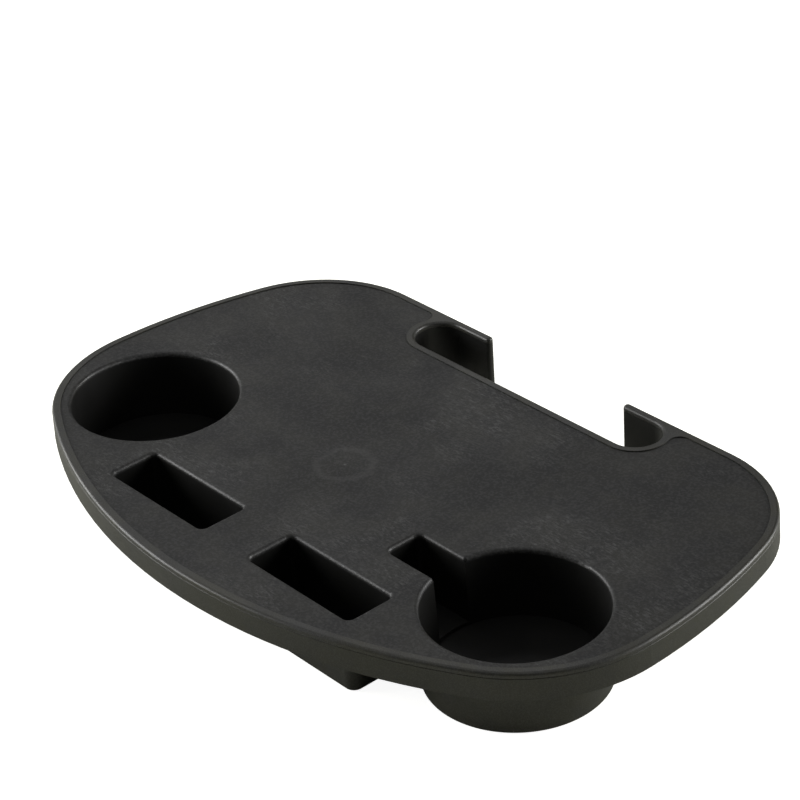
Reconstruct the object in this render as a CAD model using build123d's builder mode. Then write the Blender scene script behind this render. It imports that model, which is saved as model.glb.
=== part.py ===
# Clip-on side tray for a reclining garden chair: a rimmed deck with two cup wells, two phone
# pockets and, at the back, an open slot whose two jaws hook the tray over the chair's arm.
#
# Frame: +X along the back edge towards the well with the mug-handle pocket, +Y towards the
# chair, +Z up. The origin is on the surface that the cup wells stand on, under the middle of
# the tray. Sketches use "tray coordinates": x from the tray's centre line, y from the back edge
# (so the tray lies at negative y), and heights are measured from the rim's top face.
from build123d import *
from math import asin, atan2, cos, degrees, radians, sin
import os

# Outline, measured at the skirt
tray_width = 371.6
tray_depth = 235.4
widest_from_front = 105.6
back_corner_radius = 63.7
side_radius = 296.0
front_corner_radius = 76.5

# Rim frame, deck panel and skirt
rim_width = 4.2
rim_height = 2.8
rim_edge_radius = 1.6
rim_setback = 0.25
deck_recess = 0.5
panel_gap = 0.15
deck_corner_radius = 6.0
ledge_width = 3.0
ledge_height = 2.0
skirt_height = 13.6
skirt_wall = 2.2
tongue_setback = 0.7
tongue_width = 1.0
tongue_height = 1.1
seam_gap = 0.1
seam_edge_radius = 0.35

# Slot for the chair arm
slot_length = 160.0
slot_width = 25.4
mouth_width = 92.0
jaw_thickness = 4.0
jaw_tip_radius = 1.8
jaw_root_inset = 4.0
hook_wall = 2.4
hook_depth = 31.0

# Cup wells, placed by the deck left between their mouths and the tray's side and front
well_radius = 41.0
well_side_margin = 18.6
well_front_margin = 44.3
well_depth = 34.8
well_wall = 2.3
well_floor = 2.4
well_draft = 2.2
well_edge_radius = 2.0

# Mug-handle pocket, which opens into the right well
handle_reach = 69.7
handle_width = 19.0
handle_depth = 33.0
handle_offset = -1.3

# Phone pockets, which stand closer together the wider the wells are
pocket_length = 68.0
pocket_width = 25.2
pocket_and_well_span = 141.6
pocket_front_inset = 41.0
pocket_depth = 34.6
pocket_wall = 2.6
pocket_draft = 1.0
pocket_corner_radius = 3.0
pocket_edge_radius = 1.5
lip_radius = 1.8
notch_corner_radius = 1.5

# Deck ribs
rib_width = 2.0
rib_height = 5.0
rib_row_inset = 46.0
rib_column_gap = 8.5
rib_gap = 8.0

# Screws: the small ones hold the wells and pockets, the large ones hold the chair hook
tab_drop = 8.8
tab_thickness = 2.2
small_screw_radius = 1.45
large_screw_radius = 1.95
pilot_clearance = 0.05
hole_clearance = 0.25
boss_wall = 1.9
boss_gap = 0.8
tab_margin = 0.6
tab_root = 1.0
head_overhang = 1.35
head_height = 1.8
screw_length = 7.2
screw_spacing = 4.4
hook_screw_pitch = 44.0
hook_screw_count = 4
well_screw_angles = (20.0, 80.0, 140.0, 235.0)
pocket_screw_inset = 14.0

# Values that follow from the ones above
half_width = tray_width / 2
rim_top = well_depth + well_floor
deck_thickness = rim_height - deck_recess
widest_y = widest_from_front - tray_depth
slot_y = -rim_setback - jaw_thickness - slot_width / 2
slot_centre_span = slot_length - slot_width
well_x = half_width - well_radius - well_side_margin
well_y = well_front_margin + well_radius - tray_depth
pocket_x = (pocket_and_well_span - well_radius) / 2
pocket_y = pocket_front_inset - tray_depth
jaw_root_reach = slot_length / 2 - jaw_root_inset
tab_top = -tab_drop
tab_bottom = tab_top - tab_thickness
deck_bottom = -rim_height
small_tab_radius = small_screw_radius + boss_wall + tab_margin
large_tab_radius = large_screw_radius + boss_wall + tab_margin
slot_front = slot_y - slot_width / 2
hook_screw_y = slot_front - rim_width - ledge_width - boss_gap - boss_wall - large_screw_radius
well_screw_reach = well_radius + well_wall + screw_spacing
to_back = (Align.CENTER, Align.MIN)
tolerance = 0.01
sides = {"left": -1, "right": 1}


def level(height):
    """A plane at a height above (or, negative, below) the rim's top face."""
    return Plane((0, tray_depth / 2, rim_top + height))


def tray_plan(inset):
    """The tray's outline, moved in by a distance: four tangent arcs a side."""
    across = half_width - front_corner_radius
    front_radius = (across**2 + widest_from_front**2 - front_corner_radius**2) / (
        2 * (widest_from_front - front_corner_radius)
    )
    side_turn = degrees(asin((-widest_y - back_corner_radius) / (side_radius - back_corner_radius)))
    corner_turn = degrees(atan2(front_radius - widest_from_front, across))
    back_corner_x = half_width - side_radius + cos(radians(side_turn)) * (
        side_radius - back_corner_radius
    )
    with BuildSketch() as plan:
        with BuildLine():
            edge = Line((0, -inset), (-back_corner_x, -inset))
            for radius, turn in (
                (back_corner_radius, 90 - side_turn),
                (side_radius, side_turn),
                (front_corner_radius, corner_turn),
                (front_radius, 90 - corner_turn),
            ):
                edge = JernArc(edge @ 1, edge % 1, radius - inset, turn)
            mirror(about=Plane.YZ)
        make_face()
    return plan.sketch


def slot_plan(outset):
    """The round-ended slot, grown by a distance."""
    with BuildSketch() as plan:
        with Locations((0, slot_y)):
            SlotCenterToCenter(slot_centre_span, slot_width + 2 * outset)
    return plan.sketch


def mouth_plan():
    """The gap between the jaws, through which the chair's arm bracket passes."""
    with BuildSketch() as plan:
        with Locations((0, slot_y)):
            Rectangle(mouth_width, -2 * slot_y, align=to_back)
    return plan.sketch


def deck_plan(inset):
    """The opening in the rim frame that the deck panel lies in, moved in by a distance."""
    reach = rim_width + inset
    with BuildSketch() as plan:
        add(tray_plan(rim_setback + reach))
        add(slot_plan(reach), mode=Mode.SUBTRACT)
        with Locations((0, slot_y)):
            Rectangle(slot_centre_span, -slot_y, align=to_back, mode=Mode.SUBTRACT)
        corners = plan.vertices().group_by(Axis.Y)[-1].sort_by(lambda corner: abs(corner.X))
        fillet(corners[:2], deck_corner_radius - inset)
    return plan.sketch


def handle_plan(side, inset):
    """The mug-handle pocket beside a well, from its end to the well's centre."""
    reach = handle_reach - inset
    with BuildSketch() as plan:
        with Locations((side * (well_x - reach / 2), well_y + handle_offset)):
            RectangleRounded(reach, handle_width - 2 * inset, pocket_corner_radius)
    return plan.sketch


def well_plan(side, outset):
    """A cup well's round mouth, grown by a distance."""
    with BuildSketch() as plan:
        with Locations((side * well_x, well_y)):
            Circle(well_radius + outset)
    return plan.sketch


def pocket_plan(side, outset):
    """A phone pocket's mouth, grown by a distance."""
    with BuildSketch() as plan:
        with Locations((side * pocket_x, pocket_y)):
            RectangleRounded(
                pocket_length + 2 * outset,
                pocket_width + 2 * outset,
                pocket_corner_radius + outset,
            )
    return plan.sketch


def tab_plan(tabs, radius):
    """Screw tabs: a rounded tongue from each anchor point to its screw."""
    with BuildSketch() as plan:
        for anchor, screw in tabs:
            run = Vector(*screw) - Vector(*anchor)
            with Locations(Vector(*anchor) + run / 2):
                turn = degrees(atan2(run.Y, run.X))
                SlotCenterToCenter(run.length, 2 * radius, rotation=turn)
    return plan.sketch


def disc_plan(points, radius):
    """One disc at each point: bosses, holes and screws."""
    with BuildSketch() as plan:
        with Locations(*points):
            Circle(radius)
    return plan.sketch


# Screw places, each with the point on the wall that its tab grows from
def well_tabs(side):
    """Tabs round a well, on the arc that faces the middle of the tray."""
    tabs = []
    for angle in well_screw_angles:
        out = (side * cos(radians(angle)), sin(radians(angle)))
        near = well_radius + well_wall / 2
        anchor = (side * well_x + near * out[0], well_y + near * out[1])
        screw = (side * well_x + well_screw_reach * out[0], well_y + well_screw_reach * out[1])
        tabs.append((anchor, screw))
    return tabs


def pocket_tabs(side):
    """Tabs round a phone pocket: one at its inner end, two behind it and one in front."""
    centre_x = side * pocket_x
    wall_x = pocket_length / 2 + pocket_wall
    wall_y = pocket_width / 2 + pocket_wall
    step = pocket_length / 2 - pocket_screw_inset
    tabs = []
    for along, across, out in ((-side * wall_x, 0, (-side, 0)), (-step, wall_y, (0, 1)),
                               (step, wall_y, (0, 1)), (-side * step / 2, -wall_y, (0, -1))):
        wall = Vector(centre_x + along, pocket_y + across)
        anchor = wall - Vector(*out) * tab_root
        screw = wall + Vector(*out) * screw_spacing
        tabs.append(((anchor.X, anchor.Y), (screw.X, screw.Y)))
    return tabs


def hook_tabs():
    """Tabs along the front wall of the slot."""
    anchor_y = slot_front - hook_wall + tab_root
    first = -hook_screw_pitch * (hook_screw_count - 1) / 2
    places = [first + hook_screw_pitch * step for step in range(hook_screw_count)]
    return [((x, anchor_y), (x, hook_screw_y)) for x in places]


small_tabs = [tab for side in sides.values() for tab in well_tabs(side) + pocket_tabs(side)]
small_places = [screw for anchor, screw in small_tabs]
large_places = [screw for anchor, screw in hook_tabs()]


def finish(piece, name):
    """Label a finished piece and write it out."""
    piece.part.label = name
    export_step(piece.part, f"parts/{name}.step")


os.makedirs("parts", exist_ok=True)

# Plans that several pieces share
rim_outline = tray_plan(rim_setback)
slot_opening = slot_plan(0)
mouth = mouth_plan()
deck_opening = deck_plan(0)
well_clearance = [well_plan(side, well_wall + hole_clearance) for side in sides.values()]

# Deck panel: the flat top, laid in the rim frame a little below its top face. The mouths of
# the wells and pockets are cut through it with rounded lips; ribs and screw bosses hang below.
deck_edge = deck_plan(panel_gap)
handle_mouth = handle_plan(1, 0)
deck_holes = [well_plan(-1, 0), pocket_plan(-1, 0), pocket_plan(1, 0)]
small_bosses = disc_plan(small_places, small_screw_radius + boss_wall)
large_bosses = disc_plan(large_places, large_screw_radius + boss_wall)
small_pilots = disc_plan(small_places, small_screw_radius + pilot_clearance)
large_pilots = disc_plan(large_places, large_screw_radius + pilot_clearance)
rib_column_x = well_x - handle_reach - rib_column_gap
back_row = hook_screw_y - large_tab_radius - rib_gap
front_row = well_y + well_screw_reach + small_tab_radius + rib_gap
column_length = back_row - (pocket_y + pocket_width / 2 + rib_gap)
with BuildPart() as deck_panel:
    with BuildSketch(level(deck_bottom)):
        add(deck_edge)
        for hole in deck_holes:
            add(hole, mode=Mode.SUBTRACT)
        with BuildSketch(mode=Mode.SUBTRACT) as right_mouth:
            with Locations((well_x, well_y)):
                Circle(well_radius)
            add(handle_mouth)
            notch = right_mouth.vertices().sort_by_distance((well_x - well_radius, well_y))[:2]
            fillet(notch, notch_corner_radius)
    extrude(amount=deck_thickness)
    top = deck_panel.faces().sort_by(Axis.Z)[-1]
    fillet([edge for wire in top.inner_wires() for edge in wire.edges()], lip_radius)
    with BuildSketch(level(deck_bottom)):
        with Locations((0, back_row), (0, front_row)):
            Rectangle(tray_width - 2 * rib_row_inset, rib_width)
        with Locations((-rib_column_x, back_row), (0, back_row), (rib_column_x, back_row)):
            Rectangle(rib_width, column_length, align=(Align.CENTER, Align.MAX))
    extrude(amount=-rib_height)
    with BuildSketch(level(deck_bottom)):
        add(small_bosses)
        add(large_bosses)
    extrude(amount=tab_top - deck_bottom)
    with BuildSketch(level(tab_top)):
        add(small_pilots)
        add(large_pilots)
    extrude(amount=deck_bottom - tab_top, mode=Mode.SUBTRACT)
finish(deck_panel, "deck_panel")

# Rim frame: the raised border round the deck, the slot and the jaws. A ledge below carries the
# deck panel, and a groove under its outer edge takes the skirt's tongue.
ledge_outer = tray_plan(rim_setback + skirt_wall + seam_gap)
ledge_slot = slot_plan(hook_wall + seam_gap)
ledge_opening = deck_plan(ledge_width)
groove_outer = tray_plan(rim_setback + tongue_setback - seam_gap)
groove_inner = tray_plan(rim_setback + tongue_setback + tongue_width + seam_gap)
with BuildPart() as rim_frame:
    with BuildSketch(level(-rim_height)):
        add(rim_outline)
        add(slot_opening, mode=Mode.SUBTRACT)
        add(mouth, mode=Mode.SUBTRACT)
        add(deck_opening, mode=Mode.SUBTRACT)
    extrude(amount=rim_height)
    tips = rim_frame.edges().filter_by(Axis.Z).filter_by_position(
        Axis.X, -mouth_width / 2 - tolerance, mouth_width / 2 + tolerance
    )
    fillet(tips, jaw_tip_radius)
    top = rim_frame.faces().sort_by(Axis.Z)[-1]
    fillet(top.outer_wire().edges(), rim_edge_radius)
    underside = rim_frame.faces().sort_by(Axis.Z)[0]
    fillet(underside.outer_wire().edges(), seam_edge_radius)
    with BuildSketch(level(-rim_height)):
        add(ledge_outer)
        add(ledge_slot, mode=Mode.SUBTRACT)
        with Locations((0, slot_y)):
            Rectangle(2 * jaw_root_reach + 2 * seam_gap, -slot_y, align=to_back, mode=Mode.SUBTRACT)
        add(ledge_opening, mode=Mode.SUBTRACT)
        for mouth_round in well_clearance:
            add(mouth_round, mode=Mode.SUBTRACT)
    extrude(amount=-ledge_height)
    with BuildSketch(level(-rim_height)):
        add(groove_outer)
        add(groove_inner, mode=Mode.SUBTRACT)
        with Locations((0, slot_y)):
            Rectangle(2 * jaw_root_reach, -slot_y, align=to_back, mode=Mode.SUBTRACT)
    extrude(amount=tongue_height + seam_gap, mode=Mode.SUBTRACT)
finish(rim_frame, "rim_frame")

# Skirt: the deep outer wall under the rim, open at the back where the chair hook takes over
skirt_outer = tray_plan(0)
skirt_top = tray_plan(rim_setback)
skirt_inner = tray_plan(rim_setback + skirt_wall)
tongue_outer = tray_plan(rim_setback + tongue_setback)
tongue_inner = tray_plan(rim_setback + tongue_setback + tongue_width)
skirt_draft = degrees(atan2(rim_setback, skirt_height - rim_height))
with BuildPart() as skirt:
    with BuildSketch(level(-skirt_height)):
        add(skirt_outer)
    extrude(amount=skirt_height - rim_height, taper=skirt_draft)
    fillet(skirt.faces().sort_by(Axis.Z)[-1].edges(), seam_edge_radius)
    with BuildSketch(level(-skirt_height)):
        add(skirt_inner)
    extrude(amount=skirt_height - rim_height, mode=Mode.SUBTRACT)
    with BuildSketch(level(-rim_height)):
        add(tongue_outer)
        add(tongue_inner, mode=Mode.SUBTRACT)
    extrude(amount=tongue_height)
    with BuildSketch(level(-skirt_height)):
        with Locations((0, slot_y)):
            Rectangle(2 * (jaw_root_reach + seam_gap), tray_depth, align=to_back)
    extrude(amount=skirt_height, mode=Mode.SUBTRACT)
finish(skirt, "skirt")

# Chair hook: the wall round the slot, with a jaw each side of the mouth. It drops over the
# chair's arm and takes the tray's weight, through screws along its front wall.
hook_outer = slot_plan(hook_wall)
hook_tab_plan = tab_plan(hook_tabs(), large_tab_radius)
hook_hole_plan = disc_plan(large_places, large_screw_radius + hole_clearance)
with BuildPart() as chair_hook:
    with BuildSketch(level(-hook_depth)) as hook_walls:
        add(hook_outer)
        with Locations((0, slot_y)):
            Rectangle(2 * jaw_root_reach, -slot_y - rim_setback, align=to_back)
        add(slot_opening, mode=Mode.SUBTRACT)
        add(mouth, mode=Mode.SUBTRACT)
    extrude(amount=hook_depth - rim_height)
    tips = chair_hook.edges().filter_by(Axis.Z).filter_by_position(
        Axis.X, -mouth_width / 2 - tolerance, mouth_width / 2 + tolerance
    )
    fillet(tips, jaw_tip_radius)
    with BuildSketch(level(tab_bottom)):
        add(hook_tab_plan)
    extrude(amount=tab_thickness)
    with BuildSketch(level(-hook_depth)):
        add(slot_opening)
        add(hook_hole_plan)
    extrude(amount=hook_depth, mode=Mode.SUBTRACT)
finish(chair_hook, "chair_hook")

# Cup wells: tapered cups that butt against the deck's underside. The right one is moulded with
# the mug-handle pocket, which opens into it.
for hand, side in sides.items():
    outer = well_plan(side, well_wall)
    inner = well_plan(side, 0)
    tabs = tab_plan(well_tabs(side), small_tab_radius)
    holes = disc_plan([screw for anchor, screw in well_tabs(side)], small_screw_radius + hole_clearance)
    handle_outer = handle_plan(side, -pocket_wall)
    handle_inner = handle_plan(side, 0)
    with BuildPart() as cup_well:
        with BuildSketch(level(deck_bottom)):
            add(outer)
        extrude(amount=-(rim_top - rim_height), taper=well_draft)
        fillet(cup_well.faces().sort_by(Axis.Z)[0].edges(), well_edge_radius)
        if side > 0:
            with BuildSketch(level(deck_bottom)):
                add(handle_outer)
            extrude(amount=-(handle_depth + pocket_wall - rim_height), taper=pocket_draft)
        with BuildSketch(level(tab_bottom)):
            add(tabs)
        extrude(amount=tab_thickness)
        with BuildSketch(level(deck_bottom)):
            add(inner)
        extrude(amount=-(well_depth - rim_height), taper=well_draft, mode=Mode.SUBTRACT)
        if side > 0:
            with BuildSketch(level(deck_bottom)):
                add(handle_inner)
            extrude(amount=-(handle_depth - rim_height), taper=pocket_draft, mode=Mode.SUBTRACT)
        with BuildSketch(level(tab_bottom)):
            add(holes)
        extrude(amount=tab_thickness, mode=Mode.SUBTRACT)
    finish(cup_well, f"{hand}_cup_well")

# Phone pockets: tapered troughs, side by side in front of the deck's middle
for hand, side in sides.items():
    outer = pocket_plan(side, pocket_wall)
    inner = pocket_plan(side, 0)
    tabs = tab_plan(pocket_tabs(side), small_tab_radius)
    holes = disc_plan([screw for anchor, screw in pocket_tabs(side)], small_screw_radius + hole_clearance)
    with BuildPart() as phone_pocket:
        with BuildSketch(level(deck_bottom)):
            add(outer)
        extrude(amount=-(pocket_depth + pocket_wall - rim_height), taper=pocket_draft)
        fillet(phone_pocket.faces().sort_by(Axis.Z)[0].edges(), pocket_edge_radius)
        with BuildSketch(level(tab_bottom)):
            add(tabs)
        extrude(amount=tab_thickness)
        with BuildSketch(level(deck_bottom)):
            add(inner)
        extrude(amount=-(pocket_depth - rim_height), taper=pocket_draft, mode=Mode.SUBTRACT)
        with BuildSketch(level(tab_bottom)):
            add(holes)
        extrude(amount=tab_thickness, mode=Mode.SUBTRACT)
    finish(phone_pocket, f"{hand}_phone_pocket")

# Screws: self-tapping pan heads, driven up through the tabs into the deck's bosses
for name, places, radius in (
    ("hook_screws", large_places, large_screw_radius),
    ("cup_and_pocket_screws", small_places, small_screw_radius),
):
    shanks = disc_plan(places, radius)
    heads = disc_plan(places, radius + head_overhang)
    with BuildPart() as screws:
        with BuildSketch(level(tab_bottom)):
            add(shanks)
        extrude(amount=screw_length)
        with BuildSketch(level(tab_bottom)):
            add(heads)
        extrude(amount=-head_height)
    finish(screws, name)
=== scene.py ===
import bpy
import bmesh
from math import cos, radians, sin
from mathutils import Matrix, Vector


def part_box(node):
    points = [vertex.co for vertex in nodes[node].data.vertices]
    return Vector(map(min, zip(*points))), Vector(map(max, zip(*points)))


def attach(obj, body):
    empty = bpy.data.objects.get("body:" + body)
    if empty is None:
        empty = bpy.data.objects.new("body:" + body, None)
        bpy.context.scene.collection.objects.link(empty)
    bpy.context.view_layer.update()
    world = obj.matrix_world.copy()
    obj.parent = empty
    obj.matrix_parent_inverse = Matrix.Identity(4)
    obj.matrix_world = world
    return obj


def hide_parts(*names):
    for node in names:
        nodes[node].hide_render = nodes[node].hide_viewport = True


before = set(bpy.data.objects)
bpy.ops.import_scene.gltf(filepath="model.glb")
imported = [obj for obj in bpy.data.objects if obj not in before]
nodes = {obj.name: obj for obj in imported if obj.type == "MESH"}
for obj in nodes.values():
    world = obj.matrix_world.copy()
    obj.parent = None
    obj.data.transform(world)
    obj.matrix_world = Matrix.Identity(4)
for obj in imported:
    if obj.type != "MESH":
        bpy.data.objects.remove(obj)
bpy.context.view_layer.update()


# Camera: a long lens at the tray's front right, looking down on it and held slightly askew.
camera_azimuth = radians(50.50)
camera_elevation = radians(30.66)
camera_roll = radians(-3.93)
camera_distance = 1.27135
camera_lens = 119.91
sensor_width = 36.0
target_x = -0.0351
target_from_back = 0.0722
target_below_rim = 0.00035
skirt_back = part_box("skirt")[1]
rim_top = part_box("rim_frame")[1].z
camera_target = Vector((target_x, skirt_back.y - target_from_back, rim_top - target_below_rim))
toward_camera = Vector((
    sin(camera_azimuth) * cos(camera_elevation),
    -cos(camera_azimuth) * cos(camera_elevation),
    sin(camera_elevation),
))
level_right = Vector((0, 0, 1)).cross(toward_camera).normalized()
level_up = toward_camera.cross(level_right)
camera_right = level_right * cos(camera_roll) + level_up * sin(camera_roll)
camera_up = level_up * cos(camera_roll) - level_right * sin(camera_roll)
camera_data = bpy.data.cameras.new("camera")
camera_data.sensor_width = sensor_width
camera_data.lens = camera_lens
camera = bpy.data.objects.new("camera", camera_data)
camera_turn = Matrix((camera_right, camera_up, toward_camera)).transposed().to_4x4()
camera.matrix_world = Matrix.Translation(camera_target + toward_camera * camera_distance) @ camera_turn
bpy.context.scene.collection.objects.link(camera)
bpy.context.scene.camera = camera
bpy.context.scene.view_settings.view_transform = "Standard"


# The studio: a white sweep under and behind the tray, with soft boxes to the left, right, back and
# above. Its glow and the bright backdrop are for the camera's rays alone, so that it looks pure
# white; to every other ray it is a plain pale surface, which lights the tray from below.
floor_size = 4.0
sweep_white = (1.0, 1.0, 1.0, 1.0)
sweep_returned = (0.82, 0.82, 0.70, 1.0)
sweep_glow = 0.93
sweep_roughness = 0.9
sweep_specular = 0.1
ambient_strength = 0.05
floor_bm = bmesh.new()
bmesh.ops.create_grid(floor_bm, x_segments=1, y_segments=1, size=floor_size)
floor_mesh = bpy.data.meshes.new("studio_floor")
floor_bm.to_mesh(floor_mesh)
floor_bm.free()
floor = bpy.data.objects.new("studio_floor", floor_mesh)
bpy.context.scene.collection.objects.link(floor)
floor_material = bpy.data.materials.new("studio_floor")
floor_material.use_nodes = True
floor_tree = floor_material.node_tree
floor_shader = floor_tree.nodes["Principled BSDF"]
floor_shader.inputs["Base Color"].default_value = sweep_returned
floor_shader.inputs["Roughness"].default_value = sweep_roughness
floor_shader.inputs["Specular IOR Level"].default_value = sweep_specular
floor_shader.inputs["Emission Color"].default_value = sweep_white
floor_seen = floor_tree.nodes.new("ShaderNodeMath")
floor_seen.operation = "MULTIPLY"
floor_path = floor_tree.nodes.new("ShaderNodeLightPath")
floor_tree.links.new(floor_path.outputs["Is Camera Ray"], floor_seen.inputs[0])
floor_seen.inputs[1].default_value = sweep_glow
floor_tree.links.new(floor_seen.outputs[0], floor_shader.inputs["Emission Strength"])
floor_mesh.materials.append(floor_material)

world = bpy.data.worlds.new("studio")
bpy.context.scene.world = world
world.use_nodes = True
backdrop = world.node_tree.nodes["Background"]
backdrop.inputs["Color"].default_value = sweep_white
backdrop_seen = world.node_tree.nodes.new("ShaderNodeMapRange")
world.node_tree.links.new(
    world.node_tree.nodes.new("ShaderNodeLightPath").outputs["Is Camera Ray"], backdrop_seen.inputs["Value"]
)
backdrop_seen.inputs["To Min"].default_value = ambient_strength
backdrop_seen.inputs["To Max"].default_value = 1.0
world.node_tree.links.new(backdrop_seen.outputs["Result"], backdrop.inputs["Strength"])


def softbox(name, azimuth, elevation, distance, width, height, power):
    """A rectangular softbox that faces the tray, placed by compass angle from the camera's."""
    turn = camera_azimuth + radians(azimuth)
    lift = radians(elevation)
    outward = Vector((sin(turn) * cos(lift), -cos(turn) * cos(lift), sin(lift)))
    light = bpy.data.lights.new(name, "AREA")
    light.shape = "RECTANGLE"
    light.size = width
    light.size_y = height
    light.energy = power
    lamp = bpy.data.objects.new(name, light)
    lamp.matrix_world = (
        Matrix.Translation(outward * distance) @ outward.to_track_quat("Z", "Y").to_matrix().to_4x4()
    )
    bpy.context.scene.collection.objects.link(lamp)


softbox("softbox_left", azimuth=-108, elevation=14, distance=1.6, width=1.2, height=0.9, power=25.0)
softbox("softbox_right", azimuth=94, elevation=14, distance=1.6, width=1.0, height=0.9, power=26.0)
softbox("softbox_back", azimuth=196, elevation=38, distance=1.8, width=1.8, height=1.0, power=5.0)
softbox("softbox_above", azimuth=-30, elevation=80, distance=1.6, width=1.6, height=1.6, power=4.0)


# Moulded polypropylene, filled black. Every moulding has a fine skin from the mould, slow
# changes of shade from the way it cooled, pale scuffs and dust, and polish on its rounded edges.
def socket(tree, name, side, kind, value=None):
    """Adds a named socket to a node group."""
    made = tree.interface.new_socket(name=name, in_out=side, socket_type=kind)
    if value is not None:
        made.default_value = value
    return made


def math_node(tree, operation, first, second=None, clamp=False):
    """A Math node in a tree; an operand is a socket or a number."""
    node = tree.nodes.new("ShaderNodeMath")
    node.operation = operation
    node.use_clamp = clamp
    for slot, operand in zip(node.inputs, (first, second)):
        if isinstance(operand, bpy.types.NodeSocket):
            tree.links.new(operand, slot)
        elif operand is not None:
            slot.default_value = operand
    return node.outputs[0]


def ramp_node(tree, value, low, high, to_low=0.0, to_high=1.0):
    """A smooth Map Range node from low..high to to_low..to_high."""
    node = tree.nodes.new("ShaderNodeMapRange")
    node.interpolation_type = "SMOOTHSTEP"
    tree.links.new(value, node.inputs["Value"])
    for name, number in (("From Min", low), ("From Max", high), ("To Min", to_low), ("To Max", to_high)):
        if isinstance(number, bpy.types.NodeSocket):
            tree.links.new(number, node.inputs[name])
        else:
            node.inputs[name].default_value = number
    return node.outputs["Result"]


def noise_node(tree, vector, scale, detail, roughness=0.5):
    """A Noise texture's value."""
    node = tree.nodes.new("ShaderNodeTexNoise")
    tree.links.new(vector, node.inputs["Vector"])
    node.inputs["Scale"].default_value = scale
    node.inputs["Detail"].default_value = detail
    node.inputs["Roughness"].default_value = roughness
    return node.outputs["Fac"]


def stretched(tree, vector, scale, turn):
    """Coordinates stretched along one direction of the deck, for scratches and streaks."""
    node = tree.nodes.new("ShaderNodeMapping")
    node.inputs["Rotation"].default_value = (0, 0, radians(turn))
    node.inputs["Scale"].default_value = scale
    tree.links.new(vector, node.inputs["Vector"])
    return node.outputs["Vector"]


# The mould's skin: spark-eroded grain, from a coarse one on the deck to a faint one elsewhere.
cell_share = 0.6
ripple_share = 0.8
ripple_scale = 0.6
ripple_detail = 3.0
sparkle_from = 0.42
sparkle_full = 0.66
mould_skin = bpy.data.node_groups.new("mould_skin", "ShaderNodeTree")
socket(mould_skin, "Grain Size", "INPUT", "NodeSocketFloat", 1500.0)
socket(mould_skin, "Height", "OUTPUT", "NodeSocketFloat")
socket(mould_skin, "Sparkle", "OUTPUT", "NodeSocketFloat")
skin_in = mould_skin.nodes.new("NodeGroupInput")
skin_out = mould_skin.nodes.new("NodeGroupOutput")
skin_place = mould_skin.nodes.new("ShaderNodeTexCoord").outputs["Object"]
skin_cells = mould_skin.nodes.new("ShaderNodeTexVoronoi")
skin_cells.feature = "SMOOTH_F1"
mould_skin.links.new(skin_place, skin_cells.inputs["Vector"])
mould_skin.links.new(skin_in.outputs["Grain Size"], skin_cells.inputs["Scale"])
skin_noise = mould_skin.nodes.new("ShaderNodeTexNoise")
mould_skin.links.new(skin_place, skin_noise.inputs["Vector"])
mould_skin.links.new(
    math_node(mould_skin, "MULTIPLY", skin_in.outputs["Grain Size"], ripple_scale),
    skin_noise.inputs["Scale"],
)
skin_noise.inputs["Detail"].default_value = ripple_detail
skin_height = math_node(
    mould_skin,
    "ADD",
    math_node(mould_skin, "MULTIPLY", skin_cells.outputs["Distance"], cell_share),
    math_node(mould_skin, "MULTIPLY", skin_noise.outputs["Fac"], ripple_share),
)
mould_skin.links.new(skin_height, skin_out.inputs["Height"])
mould_skin.links.new(
    ramp_node(mould_skin, skin_noise.outputs["Fac"], sparkle_from, sparkle_full), skin_out.inputs["Sparkle"]
)

# Cooling and handling: slow blotches, sparse pale specks of dust, short pale scuffs, patches of
# pale bloom and a faint warm tint. Sizes are repeats to the metre; pairs are where a mark starts
# and where it is full, as shares of its noise.
blotch_detail = 5.0
blotch_roughness = 0.62
blotch_span = (0.30, 0.70)
dust_spacing = 170.0
dust_pick_span = (0.55, 1.0)
dust_reach = 0.075
dust_edge = 0.03
scuff_patch_size = 22.0
scuff_patch_span = (0.50, 0.68)
scuff_line_span = (0.60, 0.74)
scuff_lines = (
    (28.0, (60.0, 900.0, 200.0)),
    (-36.0, (75.0, 1050.0, 200.0)),
    (81.0, (50.0, 800.0, 200.0)),
)
bloom_patch_size = 19.0
bloom_patch_span = (0.47, 0.64)
bloom_stretch = (300.0, 900.0, 500.0)
bloom_turn = -24.0
bloom_grain_span = (0.50, 0.64)
tint_size = 48.0
tint_span = (0.36, 0.64)
wear_marks = bpy.data.node_groups.new("wear_marks", "ShaderNodeTree")
socket(wear_marks, "Blotch Size", "INPUT", "NodeSocketFloat", 14.0)
socket(wear_marks, "Scuffs", "INPUT", "NodeSocketFloat", 1.0)
socket(wear_marks, "Specks", "INPUT", "NodeSocketFloat", 1.0)
socket(wear_marks, "Blotches", "OUTPUT", "NodeSocketFloat")
socket(wear_marks, "Pale", "OUTPUT", "NodeSocketFloat")
socket(wear_marks, "Bloom", "OUTPUT", "NodeSocketFloat")
socket(wear_marks, "Tint", "OUTPUT", "NodeSocketFloat")
marks_in = wear_marks.nodes.new("NodeGroupInput")
marks_out = wear_marks.nodes.new("NodeGroupOutput")
marks_place = wear_marks.nodes.new("ShaderNodeTexCoord").outputs["Object"]
blotch_noise = wear_marks.nodes.new("ShaderNodeTexNoise")
wear_marks.links.new(marks_place, blotch_noise.inputs["Vector"])
wear_marks.links.new(marks_in.outputs["Blotch Size"], blotch_noise.inputs["Scale"])
blotch_noise.inputs["Detail"].default_value = blotch_detail
blotch_noise.inputs["Roughness"].default_value = blotch_roughness
wear_marks.links.new(
    ramp_node(wear_marks, blotch_noise.outputs["Fac"], *blotch_span), marks_out.inputs["Blotches"]
)
dust_cells = wear_marks.nodes.new("ShaderNodeTexVoronoi")
wear_marks.links.new(marks_place, dust_cells.inputs["Vector"])
dust_cells.inputs["Scale"].default_value = dust_spacing
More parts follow.
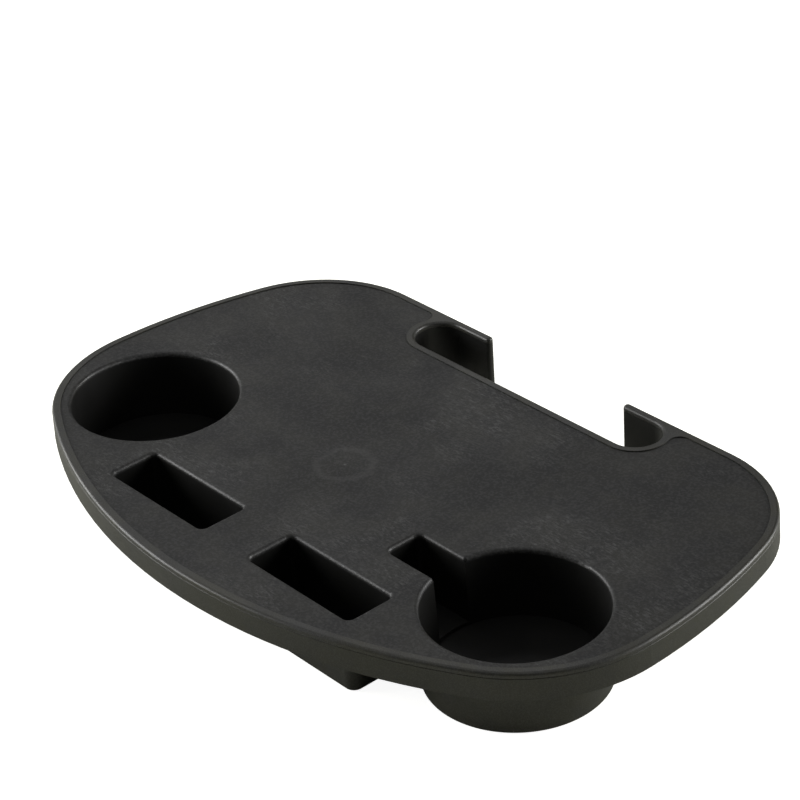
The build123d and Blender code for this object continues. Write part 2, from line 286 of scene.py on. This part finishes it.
dust_pick = wear_marks.nodes.new("ShaderNodeSeparateColor")
wear_marks.links.new(dust_cells.outputs["Color"], dust_pick.inputs["Color"])
dust_size = ramp_node(wear_marks, dust_pick.outputs["Red"], *dust_pick_span, 0.0, dust_reach)
dust = ramp_node(
    wear_marks, math_node(wear_marks, "SUBTRACT", dust_size, dust_cells.outputs["Distance"]), 0.0, dust_edge
)
dust = math_node(wear_marks, "MULTIPLY", dust, marks_in.outputs["Specks"])
scuff_zone = ramp_node(
    wear_marks, noise_node(wear_marks, marks_place, scuff_patch_size, 3.0), *scuff_patch_span
)
scuffs = None
for turn, scale in scuff_lines:
    line = ramp_node(
        wear_marks,
        noise_node(wear_marks, stretched(wear_marks, marks_place, scale, turn), 1.0, 4.0, 0.7),
        *scuff_line_span,
    )
    scuffs = line if scuffs is None else math_node(wear_marks, "MAXIMUM", scuffs, line)
scuffs = math_node(wear_marks, "MULTIPLY", scuffs, scuff_zone)
scuffs = math_node(wear_marks, "MULTIPLY", scuffs, marks_in.outputs["Scuffs"])
wear_marks.links.new(math_node(wear_marks, "ADD", dust, scuffs, clamp=True), marks_out.inputs["Pale"])
bloom_zone = ramp_node(
    wear_marks, noise_node(wear_marks, marks_place, bloom_patch_size, 5.0, 0.65), *bloom_patch_span
)
bloom_grain = ramp_node(
    wear_marks,
    noise_node(wear_marks, stretched(wear_marks, marks_place, bloom_stretch, bloom_turn), 1.0, 5.0, 0.80),
    *bloom_grain_span,
)
wear_marks.links.new(math_node(wear_marks, "MULTIPLY", bloom_zone, bloom_grain), marks_out.inputs["Bloom"])
tint_noise = noise_node(wear_marks, marks_place, tint_size, 5.0, 0.65)
wear_marks.links.new(ramp_node(wear_marks, tint_noise, *tint_span), marks_out.inputs["Tint"])

# Polish: the rounded edges are rubbed by hands and cups, so they are smoother and a touch paler.
leaning_span = (0.12, 0.40)
level_span = (0.90, 0.995)
patch_size = 60.0
patch_span = (0.35, 0.62)
edge_polish = bpy.data.node_groups.new("edge_polish", "ShaderNodeTree")
socket(edge_polish, "Polish", "OUTPUT", "NodeSocketFloat")
polish_out = edge_polish.nodes.new("NodeGroupOutput")
polish_facing = edge_polish.nodes.new("ShaderNodeSeparateXYZ")
edge_polish.links.new(
    edge_polish.nodes.new("ShaderNodeNewGeometry").outputs["Normal"], polish_facing.inputs["Vector"]
)
polish_up = math_node(edge_polish, "ABSOLUTE", polish_facing.outputs["Z"])
polish_mask = math_node(
    edge_polish,
    "MULTIPLY",
    ramp_node(edge_polish, polish_up, *leaning_span),
    ramp_node(edge_polish, polish_up, *level_span, 1.0, 0.0),
)
edge_patches = ramp_node(
    edge_polish,
    noise_node(edge_polish, edge_polish.nodes.new("ShaderNodeTexCoord").outputs["Object"], patch_size, 4.0),
    *patch_span,
)
edge_polish.links.new(
    math_node(edge_polish, "MULTIPLY", polish_mask, edge_patches), polish_out.inputs["Polish"]
)


def mix_colour(tree, factor, first, second, blend="MIX"):
    """A Mix node for colours; a colour is a socket or four numbers."""
    node = tree.nodes.new("ShaderNodeMix")
    node.data_type = "RGBA"
    node.blend_type = blend
    for slot, operand in ((node.inputs[0], factor), (node.inputs[6], first), (node.inputs[7], second)):
        if isinstance(operand, bpy.types.NodeSocket):
            tree.links.new(operand, slot)
        else:
            slot.default_value = operand
    return node.outputs[2]


warm_shade = (1.30, 1.22, 0.70, 1.0)
sparkle_share = 0.35
blotch_gloss = 0.10
bloom_gloss = 0.15
polish_gloss = 0.5


def moulded_plastic(
    name, dark, light, pale, grain, depth, roughness, blotch, scuffs, specks, polish, bloom, warmth
):
    """A moulding's finish: dark and light are its blotches' shades, pale its scuffs' and dust's."""
    material = bpy.data.materials.new(name)
    material.use_nodes = True
    tree = material.node_tree
    shader = tree.nodes["Principled BSDF"]
    skin = tree.nodes.new("ShaderNodeGroup")
    skin.node_tree = mould_skin
    skin.inputs["Grain Size"].default_value = grain
    marks = tree.nodes.new("ShaderNodeGroup")
    marks.node_tree = wear_marks
    marks.inputs["Blotch Size"].default_value = blotch
    marks.inputs["Scuffs"].default_value = scuffs
    marks.inputs["Specks"].default_value = specks
    edges = tree.nodes.new("ShaderNodeGroup")
    edges.node_tree = edge_polish
    colour = mix_colour(tree, marks.outputs["Blotches"], dark, light)
    warm = math_node(tree, "MULTIPLY", marks.outputs["Tint"], warmth)
    colour = mix_colour(tree, warm, colour, warm_shade, "MULTIPLY")
    colour = mix_colour(tree, math_node(tree, "MULTIPLY", marks.outputs["Bloom"], bloom), colour, pale)
    sparkle = math_node(tree, "MULTIPLY", skin.outputs["Sparkle"], sparkle_share)
    colour = mix_colour(tree, sparkle, colour, pale)
    colour = mix_colour(tree, math_node(tree, "MULTIPLY", edges.outputs["Polish"], polish), colour, pale)
    colour = mix_colour(tree, marks.outputs["Pale"], colour, pale)
    tree.links.new(colour, shader.inputs["Base Color"])
    rough = math_node(tree, "MULTIPLY_ADD", marks.outputs["Blotches"], -blotch_gloss)
    rough.node.inputs[2].default_value = roughness
    bloomed = (marks.outputs["Bloom"], bloom_gloss * bloom)
    polished = (edges.outputs["Polish"], polish_gloss * polish)
    for mark, gloss in (bloomed, polished):
        rough = math_node(tree, "SUBTRACT", rough, math_node(tree, "MULTIPLY", mark, gloss))
    tree.links.new(rough, shader.inputs["Roughness"])
    bump = tree.nodes.new("ShaderNodeBump")
    bump.inputs["Strength"].default_value = 1.0
    bump.inputs["Distance"].default_value = depth
    tree.links.new(skin.outputs["Height"], bump.inputs["Height"])
    tree.links.new(bump.outputs["Normal"], shader.inputs["Normal"])
    return material


def finish_node(node, material):
    """Gives a CAD node its material in every slot."""
    for slot in nodes[node].material_slots:
        slot.material = material


# Deck panel: the flat injection-moulded top, with a coarse matte grain. Its gate was in the
# middle, underneath, and left a pale ring of blush and a pin prick on the face.
deck_plastic = moulded_plastic(
    "deck_plastic",
    dark=(0.0070, 0.0070, 0.0070, 1.0),
    light=(0.0125, 0.0124, 0.0120, 1.0),
    pale=(0.0600, 0.0600, 0.0585, 1.0),
    grain=1300.0,
    depth=0.00008,
    roughness=0.60,
    blotch=24.0,
    scuffs=1.0,
    specks=1.0,
    polish=0.14,
    bloom=0.85,
    warmth=0.45,
)
blush_centre = (-0.0106, -0.0101, 0.0)
blush_radius = 0.0130
blush_width = 0.0030
blush_strength = 0.16
blush_colour = (0.11, 0.11, 0.108, 1.0)
wobble_size = 120.0
prick_radius = 0.0003
prick_edge = 0.0009
prick_strength = 0.7
upward_span = (0.5, 0.9)
deck_tree = deck_plastic.node_tree
deck_shader = deck_tree.nodes["Principled BSDF"]
deck_place = deck_tree.nodes.new("ShaderNodeTexCoord").outputs["Object"]
from_gate = deck_tree.nodes.new("ShaderNodeVectorMath")
from_gate.operation = "SUBTRACT"
deck_tree.links.new(deck_place, from_gate.inputs[0])
from_gate.inputs[1].default_value = blush_centre
flatten = deck_tree.nodes.new("ShaderNodeVectorMath")
flatten.operation = "MULTIPLY"
deck_tree.links.new(from_gate.outputs[0], flatten.inputs[0])
flatten.inputs[1].default_value = (1.0, 1.0, 0.0)
gate_distance = deck_tree.nodes.new("ShaderNodeVectorMath")
gate_distance.operation = "LENGTH"
deck_tree.links.new(flatten.outputs[0], gate_distance.inputs[0])
wobble = math_node(
    deck_tree, "MULTIPLY", noise_node(deck_tree, deck_place, wobble_size, 4.0, 0.6), 2.0 * blush_width
)
gate_reach = math_node(deck_tree, "ADD", gate_distance.outputs["Value"], wobble)
off_ring = math_node(
    deck_tree, "ABSOLUTE", math_node(deck_tree, "SUBTRACT", gate_reach, blush_radius + blush_width)
)
blush_ring = ramp_node(deck_tree, off_ring, 0.0, blush_width, blush_strength, 0.0)
pin_prick = ramp_node(
    deck_tree, gate_distance.outputs["Value"], prick_radius, prick_edge, prick_strength, 0.0
)
deck_facing = deck_tree.nodes.new("ShaderNodeSeparateXYZ")
deck_tree.links.new(
    deck_tree.nodes.new("ShaderNodeNewGeometry").outputs["Normal"], deck_facing.inputs["Vector"]
)
on_top = ramp_node(deck_tree, deck_facing.outputs["Z"], *upward_span)
blush = math_node(deck_tree, "MULTIPLY", math_node(deck_tree, "MAXIMUM", blush_ring, pin_prick), on_top)
plain_colour = deck_shader.inputs["Base Color"].links[0].from_socket
deck_tree.links.new(
    mix_colour(deck_tree, blush, plain_colour, blush_colour), deck_shader.inputs["Base Color"]
)
finish_node("deck_panel", deck_plastic)


# Rim frame: the raised border round the deck and the slot, in black polypropylene with a smooth
# face. The deck rests on its inner ledge, and it has a groove underneath for the skirt.
rim_plastic = moulded_plastic(
    "rim_plastic",
    dark=(0.0200, 0.0200, 0.0185, 1.0),
    light=(0.0260, 0.0260, 0.0240, 1.0),
    pale=(0.0800, 0.0800, 0.0740, 1.0),
    grain=2600.0,
    depth=0.000015,
    roughness=0.50,
    blotch=22.0,
    scuffs=0.25,
    specks=0.4,
    polish=0.12,
    bloom=0.25,
    warmth=0.60,
)
finish_node("rim_frame", rim_plastic)


# Skirt: the smooth outer wall below the rim, in black polypropylene with a slight olive cast. Its
# tongue stands in the rim frame's groove.
shell_plastic = moulded_plastic(
    "shell_plastic",
    dark=(0.0185, 0.0188, 0.0150, 1.0),
    light=(0.0235, 0.0239, 0.0190, 1.0),
    pale=(0.0700, 0.0700, 0.0620, 1.0),
    grain=3000.0,
    depth=0.000012,
    roughness=0.52,
    blotch=18.0,
    scuffs=0.15,
    specks=0.3,
    polish=0.10,
    bloom=0.15,
    warmth=0.40,
)
finish_node("skirt", shell_plastic)


# Chair hook, cup wells and phone pockets: smooth black polypropylene mouldings, screwed up to the
# deck by tabs. The cups taper so that they leave the mould. Their insides and the hook's upright
# faces are painted darker, as painted shade for these hollows: it is one plastic.
well_plastic = moulded_plastic(
    "well_plastic",
    dark=(0.0215, 0.0219, 0.0178, 1.0),
    light=(0.0275, 0.0280, 0.0228, 1.0),
    pale=(0.0700, 0.0700, 0.0620, 1.0),
    grain=2800.0,
    depth=0.000015,
    roughness=0.50,
    blotch=20.0,
    scuffs=0.2,
    specks=0.5,
    polish=0.06,
    bloom=0.15,
    warmth=0.40,
)
# Painted shade: every face that does not face downwards is mixed most of the way to near black.
painted_shade_colour = (0.0032, 0.0032, 0.0029, 1.0)
painted_shade_share = 0.92
painted_shade_span = (-0.012, -0.002)
well_tree = well_plastic.node_tree
well_shader = well_tree.nodes["Principled BSDF"]
well_facing = well_tree.nodes.new("ShaderNodeSeparateXYZ")
well_tree.links.new(
    well_tree.nodes.new("ShaderNodeNewGeometry").outputs["Normal"], well_facing.inputs["Vector"]
)
well_painted_shade = ramp_node(well_tree, well_facing.outputs["Z"], *painted_shade_span, 0.0, painted_shade_share)
outer_colour = well_shader.inputs["Base Color"].links[0].from_socket
well_tree.links.new(
    mix_colour(well_tree, well_painted_shade, outer_colour, painted_shade_colour), well_shader.inputs["Base Color"]
)
cups = ("left_cup_well", "right_cup_well", "left_phone_pocket", "right_phone_pocket")
for cup in cups + ("chair_hook",):
    finish_node(cup, well_plastic)


# Screws: zinc-plated self-tapping pan heads with a cross recess, driven up through the tabs.
# Each stands where its plain peg does, with a domed head below and a cut thread above.
corner_merge_distance = 0.00001


def islands(node):
    """The lowest and highest corner of each separate solid in a CAD node."""
    copy = bmesh.new()
    copy.from_mesh(nodes[node].data)
    bmesh.ops.remove_doubles(copy, verts=copy.verts, dist=corner_merge_distance)
    waiting = set(copy.verts)
    found = []
    while waiting:
        edge_of_island = [waiting.pop()]
        island = list(edge_of_island)
        while edge_of_island:
            vert = edge_of_island.pop()
            for edge in vert.link_edges:
                other = edge.other_vert(vert)
                if other in waiting:
                    waiting.remove(other)
                    edge_of_island.append(other)
                    island.append(other)
        low = Vector([min(v.co[axis] for v in island) for axis in range(3)])
        high = Vector([max(v.co[axis] for v in island) for axis in range(3)])
        found.append((low, high))
    copy.free()
    return sorted(found, key=lambda corners: (round(corners[0].x, 5), round(corners[0].y, 5)))


head_height = 0.0018
head_overhang = 0.00135
thread_depth = 0.00035
thread_pitch = 0.0011
screw_steps = 32
recess_width = 0.0007
recess_depth = 0.0011
recess_span = 1.15
recess_turn = 37.0
spin_merge_distance = 0.000001
smooth_below = radians(34.0)
head_curve = (
    (0.0, 0.0),
    (0.55, 0.02),
    (0.80, 0.14),
    (0.94, 0.36),
    (1.0, 0.62),
    (1.0, 0.92),
    (0.97, 1.0),
)
thread_valley = 0.35
thread_run_out = 1.5
point_share = 0.35
zinc_dark = (0.42, 0.43, 0.44, 1.0)
zinc_light = (0.62, 0.61, 0.58, 1.0)
zinc_cloud_size = 900.0
zinc_gloss_size = 2500.0
zinc_pit_size = 5000.0
zinc_pit_depth = 0.00001
zinc_roughness = (0.28, 0.46)
zinc_span = (0.3, 0.7)
zinc = bpy.data.materials.new("screw_steel")
zinc.use_nodes = True
zinc_tree = zinc.node_tree
zinc_shader = zinc_tree.nodes["Principled BSDF"]
zinc_place = zinc_tree.nodes.new("ShaderNodeTexCoord").outputs["Object"]
zinc_cloud = ramp_node(
    zinc_tree, noise_node(zinc_tree, zinc_place, zinc_cloud_size, 5.0, 0.6), *zinc_span
)
zinc_colour = mix_colour(zinc_tree, zinc_cloud, zinc_dark, zinc_light)
zinc_tree.links.new(zinc_colour, zinc_shader.inputs["Base Color"])
zinc_tree.links.new(
    ramp_node(
        zinc_tree,
        noise_node(zinc_tree, zinc_place, zinc_gloss_size, 3.0),
        *zinc_span,
        *zinc_roughness,
    ),
    zinc_shader.inputs["Roughness"],
)
zinc_shader.inputs["Metallic"].default_value = 1.0
zinc_bump = zinc_tree.nodes.new("ShaderNodeBump")
zinc_bump.inputs["Distance"].default_value = zinc_pit_depth
zinc_tree.links.new(noise_node(zinc_tree, zinc_place, zinc_pit_size, 2.0), zinc_bump.inputs["Height"])
zinc_tree.links.new(zinc_bump.outputs["Normal"], zinc_shader.inputs["Normal"])

for screw_node in ("hook_screws", "cup_and_pocket_screws"):
    body_bm = bmesh.new()
    recess_bm = bmesh.new()
    for number, (low, high) in enumerate(islands(screw_node)):
        centre = (low + high) / 2
        head_radius = (high.x - low.x) / 2
        shank_radius = head_radius - head_overhang
        outline = [
            (across * head_radius, low.z + up * head_height) for across, up in head_curve
        ]
        outline.append((shank_radius, low.z + head_height))
        height = low.z + head_height + thread_pitch
        while height < high.z - thread_run_out * thread_pitch:
            outline.append((shank_radius - thread_depth, height - thread_valley * thread_pitch))
            outline.append((shank_radius, height))
            height += thread_pitch
        outline.append((shank_radius - thread_depth, high.z - thread_pitch))
        outline.append((point_share * shank_radius, high.z))
        outline.append((0.0, high.z))
        profile = [body_bm.verts.new((centre.x + radius, centre.y, z)) for radius, z in outline]
        edges = [body_bm.edges.new(pair) for pair in zip(profile, profile[1:])]
        bmesh.ops.spin(
            body_bm,
            geom=profile + edges,
            cent=(centre.x, centre.y, 0.0),
            axis=(0.0, 0.0, 1.0),
            angle=radians(360.0),
            steps=screw_steps,
            use_merge=True,
        )
        recess_length = recess_span * head_radius
        for arm in (0.0, 90.0):
            turn = Matrix.Rotation(radians(recess_turn * number + arm), 4, "Z")
            size = Matrix.Diagonal((recess_length, recess_width, 2 * recess_depth, 1.0))
            middle = Matrix.Translation((centre.x, centre.y, low.z))
            bmesh.ops.create_cube(recess_bm, size=1.0, matrix=middle @ turn @ size)
    bmesh.ops.remove_doubles(body_bm, verts=body_bm.verts, dist=spin_merge_distance)
    bmesh.ops.recalc_face_normals(body_bm, faces=body_bm.faces)
    screw_mesh = bpy.data.meshes.new(screw_node + "_threaded")
    body_bm.to_mesh(screw_mesh)
    body_bm.free()
    recess_mesh = bpy.data.meshes.new("recess")
    recess_bm.to_mesh(recess_mesh)
    recess_bm.free()
    screws = bpy.data.objects.new(screw_node + "_threaded", screw_mesh)
    recess = bpy.data.objects.new("recess", recess_mesh)
    bpy.context.scene.collection.objects.link(screws)
    bpy.context.scene.collection.objects.link(recess)
    cut = screws.modifiers.new("recess", "BOOLEAN")
    cut.operation = "DIFFERENCE"
    cut.solver = "EXACT"
    cut.use_self = True
    cut.object = recess
    bpy.context.view_layer.update()
    finished = bpy.data.meshes.new_from_object(screws.evaluated_get(bpy.context.evaluated_depsgraph_get()))
    screws.modifiers.remove(cut)
    screws.data = finished
    bpy.data.objects.remove(recess)
    finished.materials.clear()
    finished.materials.append(zinc)
    finished.shade_smooth()
    finished.set_sharp_from_angle(angle=smooth_below)
    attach(screws, "root")
    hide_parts(screw_node)
